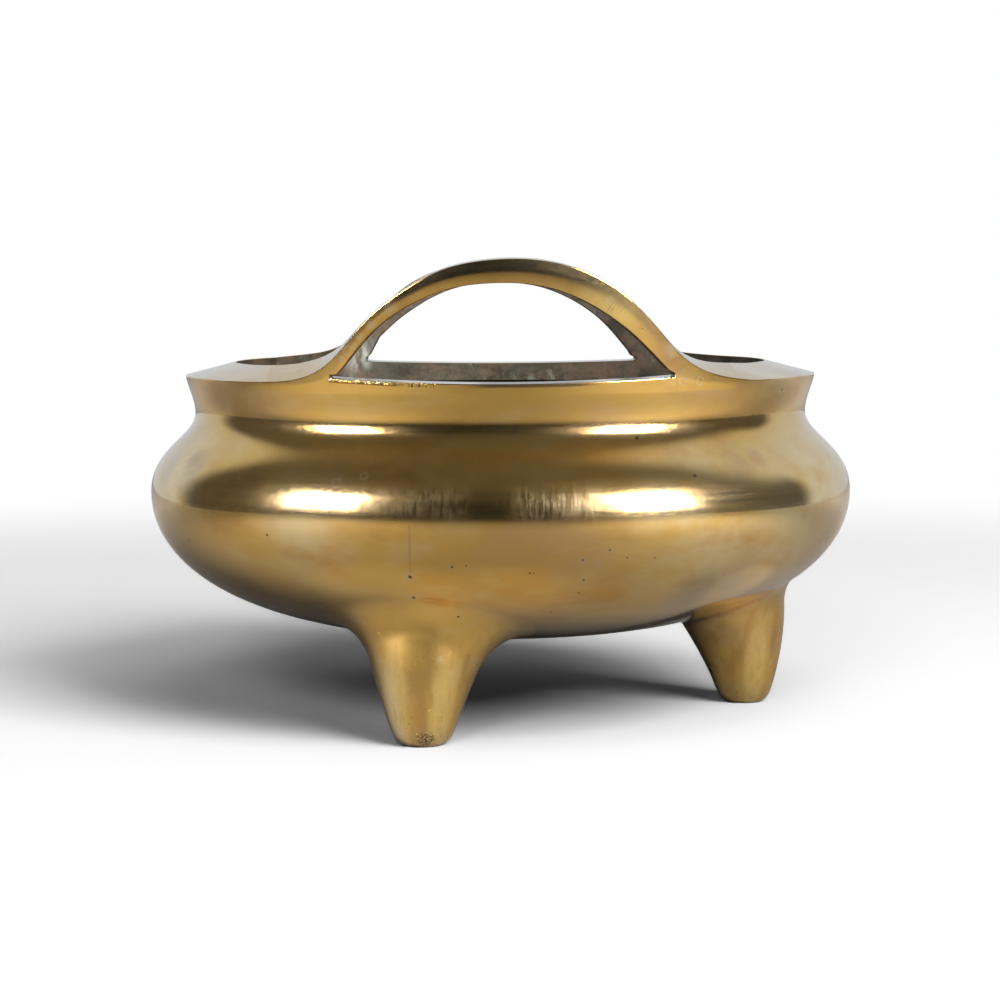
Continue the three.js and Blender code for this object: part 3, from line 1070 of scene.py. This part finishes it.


# Marks of the photographed piece, with some painted highlight and sheen among them, as (x, y, z,
# radius) in millimetres

handleMarks = {
    # bright yellow spots on the arch's right limb: painted highlight where it shows glare
    "lemonSheen": [(31.4, -109, 148, 9), (36, -107, 143, 6)],
    "brown": [(-46, -103, 137, 10), (-33, -108, 146, 7), (51, -99, 127, 6)],
    "chalk": [(-54.5, 77.5, 123.5, 5.5), (-52, 85, 124.5, 5)],
    "rings": [
        (-49.4, -102.2, 130.3, 1.5), (-47.4, -103.3, 131.9, 0.8), (-51.4, -101.0, 127.7, 0.8),
        (58.2, -95.9, 120.0, 1.3), (64.0, -92.2, 119.9, 1.3),
    ],
    "film": [
        (-35.9, -109.4, 144.3, 2.3), (54.3, -99.6, 130.1, 2.6), (-41.8, -106.6, 138.6, 1.6),
        (-45.7, -104.5, 134.8, 1.1), (34.0, -110.0, 146.5, 1.7),
    ],
    "pits": [(44.6, -105.6, 137.0, 0.33), (66.0, -92.5, 117.6, 0.33), (-63.6, -92.6, 118.0, 0.29)],
    # the file's cuts along the window: x from, to and soft, then the same for z
    "filed": [(29, 38, 1.5, 142.5, 146.5, 0.8), (50, 60, 1.5, 121, 133, 1.5)],
}

bowlMarks = {
    "pits": [
        (-29.7, -114.7, 59.1, 0.59), (-28.7, -107.6, 51.5, 0.62), (33.5, -118.5, 67.8, 0.36),
        (39.0, -115.6, 64.9, 0.26), (24.9, -119.3, 64.7, 0.36), (25.4, -114.8, 57.9, 0.39),
        (24.0, -110.8, 53.2, 0.29), (8.2, -119.3, 60.7, 0.33), (9.6, -119.2, 60.6, 0.23),
        (48.1, -111.8, 64.4, 0.26), (15.3, -102.9, 46.1, 0.33), (-16.3, -119.8, 62.8, 0.39),
        (-11.9, -120.5, 63.1, 0.29), (-105.5, -62.0, 65.8, 0.45), (-76.2, -97.9, 71.0, 0.45),
        (43.0, -101.6, 102.1, 0.49), (61.4, -104.5, 90.0, 0.52), (83.6, -70.0, 107.6, 0.33),
        (94.6, -58.6, 115.7, 0.45), (-42.9, -103.6, 110.0, 0.33), (-83.0, -74.0, 112.6, 0.36),
    ],
    "halos": [
        (-29.7, -114.7, 59.1, 2.1), (-28.7, -107.6, 51.5, 2.3), (24.9, -119.3, 64.7, 1.4),
        (25.4, -114.8, 57.9, 1.5), (29.8, -117.2, 62.9, 1.2), (33.5, -118.5, 67.8, 1.4),
        (-16.3, -119.8, 62.8, 1.3),
    ],
    "rings": [(-52.8, -110.0, 88.7, 1.5), (-44.1, -112.0, 91.0, 1.2)],
    # painted highlight: paler patches over the bright reflections on the belly's sides and at the
    # rim's ends
    "paleSheen": [
        (66, -104, 74, 25), (94, -80, 72, 22), (-64, -105, 75, 15), (108, -62, 86, 20),
        (-110, -55, 86, 15), (92, -62, 127, 13), (-92, -62, 127, 8),
    ],
    "amber": [(1, -109, 50, 17), (-20, -112, 57, 10), (32, -107, 50, 9), (-52, -104, 66, 8)],
    "rust": [
        (77.1, -91.6, 91.8, 5.5), (84.0, -84.0, 93.5, 4), (100.7, -73.8, 75.1, 1.6),
        (107.3, -64.1, 77.9, 0.9),
    ],
    "dusk": [
        (63.2, -92.0, 51.7, 9), (74.0, -86.0, 56.0, 7), (-104.0, -60.7, 91.0, 6),
        (-111.0, -42.0, 88.0, 7),
    ],
    "drip": {"x": -29.6, "halfWidth": 0.28, "bottom": 60.5, "top": 76},
    "smears": [(-50, -12, 0.42), (3, 32, 0.62)],  # from x to x, and how strong
    # belts from z to z, and how soft their edges are
    "smearBelt": (78.2, 87.5, 3.2),
    "satinBelt": (87, 101, 3),
    "dustBelt": (86, 103, 3),
    # the strip below the front window, and stretches of it from x to x
    "sillStrip": (-0.6, 1.1, 0.3),
    "roughSill": (-57, -34, 3),
    "hatchedSill": (-34, -22, 2.5),
    "oliveSill": (-8, 28, 5),
}

legMarks = {
    # painted sheen and reflection down the feet: round the foot's middle (x, y), from an angle to
    # an angle, then tone and share
    "sheenStripes": [
        (-26.7, -84.1, -60, -24, "lemonSheen", 0.9), (-26.7, -84.1, -72, -36, "paleSheen", 0.6),
        (-26.7, -84.1, 12, 50, "lemonSheen", 1.0), (-26.7, -84.1, -18, 6, "brown", 0.4),
        (88.2, 0, -5, 30, "lemonSheen", 0.8),
    ],
    "cluster": (-25.2, -93.8, 2.9, 3.3),  # porous spot on the front toe
    "sparse": (-27.0, -95.5, 7.0, 7.0),
    "pits": [
        (-14.7, -102.6, 44.6, 0.39), (-40.5, -93.4, 38.6, 0.29), (-9.6, -88.6, 24.5, 0.29),
        (75.6, -4.0, 11.8, 0.98),
    ],
    "rings": [(-16.8, -96.5, 25.1, 1.0)],
    "film": [(-20.6, -98.8, 30.4, 1.2)],
    "toe": (11, 2),  # heights between which the dirt of the toes comes in,
    "glossyRoot": (30, 52),  # the polish of the roots,
    "brownFoot": (46, 30),  # and the brown bands of the feet
}


def layPatina(surface):
    # the dull skin on the faces that were never polished
    wire = surface.wire
    depth = wire.node("Attribute", attribute_name="patina").outputs["Fac"]
    uneven = wire.math("MULTIPLY_ADD", surface.noise("skinEdge"), 1.2, -0.6)
    inside = wire.ramp(wire.math("ADD", depth, uneven), 0.5, 1.1)
    clouds = surface.noise("skinClouds")
    patches = surface.noise("skinPatches")
    bloom = surface.noise("skinBloom")
    chalked = surface.spots(handleMarks["chalk"], 0.7, ragged=False)
    skin = patinaTones["umber"]
    for tone, share in (
        ("ash", wire.ramp(clouds, 0.36, 0.66)),
        ("rosy", wire.ramp(patches, 0.44, 0.64, 0, 0.8)),
        ("verdigris", wire.ramp(bloom, 0.56, 0.68, 0, 0.75)),
        ("chalk", surface.times(chalked, wire.ramp(bloom, 0.35, 0.6), 0.9)),
    ):
        skin = wire.blend(share, skin, patinaTones[tone])
    surface.lay(inside, tone=skin, roughness=0.68, metallic=0.1, coat=0)
    surface.lift(surface.times(inside, surface.noise("skinGrain")), 0.3)


def polishSmears(surface):
    # dried polish, wiped up and down across the belly's widest line
    wire = surface.wire
    strokes = wire.ramp(surface.noise("strokes"), 0.34, 0.60)
    clots = wire.ramp(surface.noise("clots"), 0.26, 0.50)
    belt = surface.within(surface.z, *bowlMarks["smearBelt"])
    wiped = surface.times(belt, surface.front(), strokes, clots)
    for low, high, strength in bowlMarks["smears"]:
        share = surface.times(wiped, surface.within(surface.x, low, high, 5), 0.6 * strength)
        surface.lay(share, tone="film", roughness=0.34, metallic=0.6)


def sillGroove(surface):
    # just below the front window the band was left rough on the left, and hatched beside that
    wire = surface.wire
    sag = handle["sillSag"] / handle["halfWindow"] ** 2
    squared = wire.math("MULTIPLY", surface.x, surface.x)
    sill = wire.math("MULTIPLY_ADD", squared, sag, handle["sillHeight"])
    below = wire.math("SUBTRACT", sill, surface.z)
    edge = surface.times(surface.within(below, *bowlMarks["sillStrip"]), surface.front())
    rough = surface.times(edge, surface.within(surface.x, *bowlMarks["roughSill"]))
    lumps = surface.noise("lumps")
    hollows = surface.times(rough, wire.ramp(lumps, 0.54, 0.46), 0.9)
    surface.lay(hollows, tone="pit", roughness=0.4)
    tops = surface.times(rough, wire.ramp(lumps, 0.54, 0.6), 0.8)
    surface.lay(tops, tone="silver", roughness=0.35)
    surface.lift(surface.times(rough, lumps), 0.9)
    hatch = surface.times(edge, surface.within(surface.x, *bowlMarks["hatchedSill"]))
    hatch = surface.times(hatch, wire.ramp(surface.cuts(surface.x, 1.3), 0.5, 0.6), 0.8)
    surface.lay(hatch, tone="pit", height=-0.08)
    olive = surface.times(edge, surface.within(surface.x, *bowlMarks["oliveSill"]), 0.85)
    surface.lay(olive, tone="pit", roughness=0.3)


def dripLine(surface):
    wire = surface.wire
    drip = bowlMarks["drip"]
    along = wire.math("ABSOLUTE", wire.math("SUBTRACT", surface.x, drip["x"]))
    line = surface.times(
        wire.ramp(along, drip["halfWidth"] * 1.6, drip["halfWidth"] * 0.6),
        surface.within(surface.z, drip["bottom"], drip["top"], 1.5),
        surface.front(),
        0.45,
    )
    surface.lay(line, tone="dusk", roughness=0.3, height=-0.02)


def bowlBrass():
    surface = polishedMetal("bowl")
    wire = surface.wire
    surface.lift(wire.ramp(surface.noise("scratches"), 0.60, 0.68), -0.004)
    surface.laySpots(bowlMarks["dusk"], 0.7, 0.6, ragged=False, tone="dusk")
    surface.laySpots(bowlMarks["rust"], 0.6, 0.5, ragged=False, tone="rust")
    # a paler tone painted over the bright reflections low on the belly's sides and at the rim's
    # ends: painted highlight
    paleSheenNoise = wire.ramp(surface.noise("paleSheenNoise"), 0.25, 0.6)
    surface.laySpots(bowlMarks["paleSheen"], 0.9, surface.times(paleSheenNoise, 0.6), ragged=False, tone="paleSheen")
    warm = wire.ramp(surface.noise("warm"), 0.3, 0.6)
    surface.laySpots(bowlMarks["amber"], 0.8, surface.times(warm, 0.75), ragged=False, tone="amber")
    satin = surface.within(surface.z, *bowlMarks["satinBelt"])
    surface.lay(surface.times(satin, surface.front(-84, -99), 0.5), roughness=0.24)
    polishSmears(surface)
    sillGroove(surface)
    dusty = surface.within(surface.z, *bowlMarks["dustBelt"])
    dust = surface.times(surface.specks(0.28, 0.16, 0.55), dusty, surface.front(-60, -90), 0.8)
    surface.lay(dust, tone="film", roughness=0.5, metallic=0.2)
    surface.laySpots(bowlMarks["halos"], 0.6, 0.12, tone="film", roughness=0.3, metallic=0.7)
    surface.layRings(bowlMarks["rings"], 0.25, roughness=0.3, metallic=0.6)
    dripLine(surface)
    # the pits stay glossy: on the dark mirror of the neck a rough pit looks lighter than metal
    scattered = surface.specks(0.055, 0.42, 0.5, (17, 3, 9))
    surface.lay(surface.times(scattered, 0.85), tone="pit", coat=0)
    surface.lay(surface.spots(bowlMarks["pits"], 0.4), tone="pit", coat=0)
    layPatina(surface)
    return surface.finish()


def fileMarks(surface):
    # short cuts of a file along the arch's inner edge, slanting over its face
    wire = surface.wire
    slant = wire.math("MULTIPLY_ADD", surface.z, -0.75, surface.x)
    cut = wire.ramp(surface.cuts(slant, 1.6), 0.57, 0.66)
    first, second = (
        surface.times(surface.within(surface.x, *mark[:3]), surface.within(surface.z, *mark[3:]))
        for mark in handleMarks["filed"]
    )
    either = wire.math("MAXIMUM", first, surface.times(second, 0.8))
    patchy = wire.ramp(surface.noise("filed"), 0.42, 0.55)
    surface.lay(surface.times(cut, either, patchy, 0.6), tone="dusk", roughness=0.25)


def handleBrass():
    surface = polishedMetal("handle")
    # the bright yellow spots are a painted highlight on the arch's right limb
    for tone, share in (("lemonSheen", 0.85), ("brown", 0.6)):
        surface.laySpots(handleMarks[tone], 0.8, share, ragged=False, tone=tone)
    surface.laySpots(handleMarks["film"], 0.6, 0.22, tone="film", roughness=0.35, metallic=0.55)
    surface.layRings(handleMarks["rings"], 0.3, 0.3, roughness=0.35, metallic=0.5)
    fileMarks(surface)
    scattered = surface.specks(0.07, 0.35, 0.5, (7, 31, 9))
    surface.lay(surface.times(scattered, 0.8), **pitFinish, height=-0.1)
    surface.lay(surface.spots(handleMarks["pits"], 0.4), **pitFinish, height=-0.2)
    layPatina(surface)
    return surface.finish()


def paintSheenStripes(surface):
    # painted sheen: bright yellow strips down the sides of the feet, where they mirror the lit
    # floor, and a painted dark reflection of the shaded floor down the front foot's middle
    wire = surface.wire
    for x, y, low, high, tone, share in legMarks["sheenStripes"]:
        across, along = wire.math("SUBTRACT", surface.x, x), wire.math("SUBTRACT", y, surface.y)
        turn = wire.math("DEGREES", wire.math("ARCTAN2", across, along))
        near = surface.spot((x, y, 12), 20, 0.6, ragged=False)
        streaked = wire.ramp(surface.noise("sheenStreaks"), 0.32, 0.52, 0.45, 1)
        sheenStripe = surface.times(surface.within(turn, low, high, 9), near, streaked)
        surface.lay(surface.times(sheenStripe, share), tone=tone)


def legBrass():
    surface = polishedMetal("leg")
    wire = surface.wire
    bands = wire.ramp(surface.noise("bands"), 0.44, 0.66, 0, 0.55)
    foot = wire.ramp(surface.z, *legMarks["brownFoot"])
    surface.lay(surface.times(bands, foot), tone="brown")
    surface.lay(wire.ramp(surface.z, *legMarks["glossyRoot"]), roughness=0.16)
    paintSheenStripes(surface)
    surface.laySpots(legMarks["film"], 0.6, 0.18, tone="film", roughness=0.4, metallic=0.6)
    surface.layRings(legMarks["rings"], 0.2, roughness=0.4, metallic=0.6)
    toe = wire.ramp(surface.z, *legMarks["toe"])
    surface.lay(surface.times(toe, 0.3), tone="dusk", roughness=0.3)
    *place, radius = legMarks["cluster"]
    cluster = surface.spot(place, radius, 0.55)
    pores = surface.times(cluster, wire.ramp(surface.noise("pores"), 0.46, 0.52))
    surface.lay(pores, tone="pit", roughness=0.8, metallic=0, coat=0, height=-0.04)
    *place, radius = legMarks["sparse"]
    near = wire.math("MAXIMUM", surface.spot(place, radius, 0.5), surface.times(toe, 0.8))
    dots = surface.times(surface.specks(0.55, 0.42, 0.35), near)
    surface.lay(dots, **pitFinish, height=-0.12)
    surface.lay(surface.spots(legMarks["pits"], 0.4), **pitFinish, height=-0.2)
    return surface.finish()


slotBrass = {"bowl_brass": bowlBrass(), "handle_brass": handleBrass(), "leg_brass": legBrass()}
for name, piece in pieces.items():
    slot = name.split("_")[0] + "_brass"
    piece.data.materials.append(slotBrass[slot])
print("brass finished")


# Camera, at the photograph's place

view = {
    "place": (-0.00740, -0.91800, 0.15272),
    "pitch": 0.08605,  # downwards
    "yaw": 0.00784,  # to the right
    "roll": -0.00377,
    "lens": 91.825,
    "sensor": 36,
    "clip": (0.05, 100),
}


def placeCamera():
    camera = bpy.data.cameras.new("camera")
    camera.lens = view["lens"]
    camera.sensor_width = view["sensor"]
    camera.clip_start, camera.clip_end = view["clip"]
    holder = added("camera", camera)
    pitch, yaw, roll = view["pitch"], view["yaw"], view["roll"]
    level = math.cos(pitch)
    ahead = Vector((math.sin(yaw) * level, math.cos(yaw) * level, -math.sin(pitch)))
    right = Vector((math.cos(yaw), -math.sin(yaw), 0))
    up = right.cross(ahead)
    across = right * math.cos(roll) + up * math.sin(roll)
    upright = up * math.cos(roll) - right * math.sin(roll)
    turn = Matrix((across, upright, -ahead)).transposed().to_4x4()
    holder.matrix_world = Matrix.Translation(view["place"]) @ turn
    scene.camera = holder


placeCamera()
scene.view_settings.view_transform = "Standard"
scene.cycles.caustics_reflective = False  # the brass throws no light back on the floor


# Studio

studio = {
    "floorSides": 0.75,
    "floorFront": -0.85,
    "floorBack": 2.5,
    "paperSeen": 1.6,  # the floor as the camera sees it
    "whiteFrom": 0.42,  # it turns plain white this far out
    "whiteTo": 0.95,
    "paper": 0.56,  # the floor as the brass mirrors it, near the censer
    "paperBack": 1.1,  # and well behind it
    "paperFront": 0.08,  # and at its front edge
    "paperBackFades": (0.1, 0.55),  # from y to y
    "paperFrontFades": (-0.3, -0.75),
    "glowCore": 0.02,  # radius of a glow's brightest part
    "fill": 0.09,
    "roomFront": (0.015, 0.021, 0.025, 1),
    "roomSides": (0.09, 0.095, 0.10, 1),
    "roomCeiling": (0.11, 0.115, 0.12, 1),
    "backdrop": (0.61, 0.67, 0.74, 1),
    # sideways slopes at which the room ends and the backdrop starts
    "backdropRight": (0.4, 0.62),
    "backdropRightHigh": (-0.05, 0.5),
    "backdropLeft": (0.5, 0.85),
    # directions between which one part of the room passes into the next
    "rightHighFades": (0.25, 0.6),
    "leftToRight": (-0.1, 0.1),
    "frontToSides": (-1.6, 0.3),
    "wallToCeiling": (0.25, 0.98),
    "aim": (0, 0, 0.09),  # what the lamps face
}

# the mirrored floor is brighter below the two softboxes and round the feet: place, radius, gain
floorGlows = [
    ((0.33, -0.24, 0), 0.33, 0.75), ((-0.33, -0.24, 0), 0.33, 0.7),
    ((-0.002, -0.106, 0), 0.06, 0.2), ((-0.058, -0.095, 0), 0.06, 0.2),
    ((0.115, -0.02, 0), 0.04, 0.2),
]

# azimuth 0 is towards the camera, and to its right where positive; the three keys light the
# floor and cast the shadow, and the two softboxes are what the brass mirrors
lamps = {
    "key": {
        "azimuth": 40, "elevation": 35, "distance": 3.2,
        "width": 1.8, "height": 1.7, "power": 73, "mirrored": False,
    },
    "key_front": {
        "azimuth": -12, "elevation": 26, "distance": 3.2,
        "width": 0.9, "height": 0.7, "power": 15, "mirrored": False,
    },
    "key_high": {
        "azimuth": 20, "elevation": 60, "distance": 3.2,
        "width": 1.8, "height": 1.4, "power": 12, "mirrored": False,
    },
    "softbox_right": {
        "azimuth": 47, "elevation": 17.5, "distance": 1.45,
        "width": 0.50, "height": 0.68, "power": 88, "mirrored": True,
    },
    "softbox_left": {
        "azimuth": -58.5, "elevation": 17, "distance": 1.7,
        "width": 0.64, "height": 0.72, "power": 62, "mirrored": True,
    },
}


def paintWorld():
    world = bpy.data.worlds.new("studio")
    scene.world = world
    world.use_nodes = True
    world.node_tree.nodes.clear()
    wire = Wiring(world.node_tree)
    path = wire.node("LightPath").outputs
    where = wire.node("TexCoord").outputs["Generated"]
    x, y, z = wire.node("SeparateXYZ", {0: where}).outputs
    # a pale backdrop stands behind the censer; the room is dark in front of it and over it
    slope = wire.math("DIVIDE", y, wire.math("MAXIMUM", wire.math("ABSOLUTE", x), 0.001))
    edges = ("backdropLeft", "backdropRight", "backdropRightHigh")
    left, right, high = (wire.ramp(slope, *studio[edge]) for edge in edges)
    right = wire.blendValue(wire.ramp(z, *studio["rightHighFades"]), right, high)
    behind = wire.blendValue(wire.ramp(x, *studio["leftToRight"]), left, right)
    sides = wire.ramp(slope, *studio["frontToSides"])
    wall = wire.blend(sides, studio["roomFront"], studio["roomSides"])
    room = wire.blend(wire.ramp(z, *studio["wallToCeiling"]), wall, studio["roomCeiling"])
    mirrored = wire.node("Background", {"Color": wire.blend(behind, room, studio["backdrop"])})
    soft = wire.node("Background", {"Color": (1, 1, 1, 1), "Strength": studio["fill"]})
    seen = wire.node("Background", {"Color": (1, 1, 1, 1)})
    lit = wire.shaders(path["Is Glossy Ray"], soft.outputs[0], mirrored.outputs[0])
    lit = wire.shaders(path["Is Camera Ray"], lit, seen.outputs[0])
    wire.node("OutputWorld", {"Surface": lit})


def layFloor():
    mesh = bmesh.new()
    bmesh.ops.create_grid(mesh, x_segments=1, y_segments=1, size=1)
    for vertex in mesh.verts:
        vertex.co.x *= studio["floorSides"]
        vertex.co.y = studio["floorBack"] if vertex.co.y > 0 else studio["floorFront"]
    data = bpy.data.meshes.new("floor")
    mesh.to_mesh(data)
    added("floor", data)
    material = bpy.data.materials.new("paper")
    material.use_nodes = True
    material.node_tree.nodes.clear()
    wire = Wiring(material.node_tree)
    path = wire.node("LightPath").outputs
    where = wire.node("TexCoord").outputs["Object"]
    away = wire.vector("LENGTH", where)
    depth = wire.node("SeparateXYZ", {0: where}).outputs[1]
    back = studio["paperBackFades"]
    mirrored = wire.ramp(depth, *back, studio["paper"], studio["paperBack"])
    front = wire.ramp(depth, *studio["paperFrontFades"])
    mirrored = wire.blendValue(front, mirrored, studio["paperFront"])
    for middle, radius, gain in floorGlows:
        gap = wire.vector("DISTANCE", where, middle)
        glow = wire.ramp(gap, radius, studio["glowCore"], 0, gain)
        mirrored = wire.math("ADD", mirrored, glow)
    shade = wire.blendValue(path["Is Camera Ray"], mirrored, studio["paperSeen"])
    colour = wire.node("CombineColor", {0: shade, 1: shade, 2: shade}).outputs[0]
    paper = wire.node("BsdfDiffuse", {"Color": colour})
    white = wire.node("Emission", {"Color": (1, 1, 1, 1)})
    far = wire.ramp(away, studio["whiteFrom"], studio["whiteTo"])
    share = wire.math("MULTIPLY", far, path["Is Camera Ray"])
    surface = wire.shaders(share, paper.outputs[0], white.outputs[0])
    wire.node("OutputMaterial", {"Surface": surface})
    data.materials.append(material)


def hangLamp(name, plan):
    lamp = bpy.data.lights.new(name, "AREA")
    lamp.shape = "RECTANGLE"
    lamp.size = plan["width"]
    lamp.size_y = plan["height"]
    lamp.energy = plan["power"]
    holder = added(name, lamp)
    turn = math.radians(plan["azimuth"])
    rise = math.radians(plan["elevation"])
    level = math.cos(rise)
    away = Vector((math.sin(turn) * level, -math.cos(turn) * level, math.sin(rise)))
    facing = away.to_track_quat("Z", "Y").to_matrix().to_4x4()
    place = Vector(studio["aim"]) + away * plan["distance"]
    holder.matrix_world = Matrix.Translation(place) @ facing
    holder.visible_camera = False
    holder.visible_glossy = plan["mirrored"]
    holder.visible_diffuse = not plan["mirrored"]


paintWorld()
layFloor()
for name, plan in lamps.items():
    hangLamp(name, plan)
print("studio lit")
